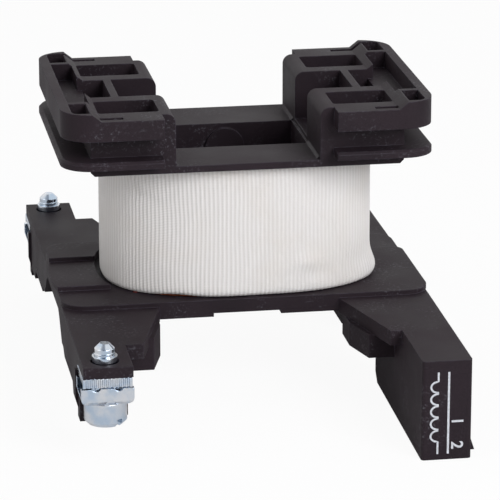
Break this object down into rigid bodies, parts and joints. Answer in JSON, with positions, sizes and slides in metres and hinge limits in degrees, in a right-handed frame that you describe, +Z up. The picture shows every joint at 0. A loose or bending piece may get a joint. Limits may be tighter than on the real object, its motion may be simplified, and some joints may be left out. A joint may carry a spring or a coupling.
{
  "type": "contactor coil",
  "caption": "Contactor coil: taped winding on a black flanged bobbin with ribbed heads, guide grooves, four arms, screw terminals and label blocks.",
  "frame": {"origin": "the core bore's axis at the level of the arms' top face", "axes": "+X towards the label blocks, +Y towards the rear pair of arms, +Z up through the bore to the ribbed heads"},
  "size_m": [0.0774, 0.1266, 0.0631],
  "materials": {
    "bobbin_plastic": "fine satin moulding",
    "copper_wire": "enamelled copper",
    "cotton_tape": "ribbed cotton tape",
    "zinc_plate": "bright zinc",
    "lead_sleeve": "smooth sleeving",
    "solder": "satin"
  },
  "bodies": {
    "root": {"bobbin": "bobbin_plastic", "winding": "copper_wire", "cotton_tape": "cotton_tape", "terminal_screw_front": "zinc_plate", "terminal_screw_back": "zinc_plate", "terminal_plate_front": "zinc_plate", "terminal_plate_back": "zinc_plate", "clamp_plate_front": "zinc_plate", "clamp_plate_back": "zinc_plate", "lead_wire_front": "lead_sleeve", "lead_wire_back": "lead_sleeve", "solder_joint_front": "solder", "solder_joint_back": "solder"}
  },
  "joints": []
}
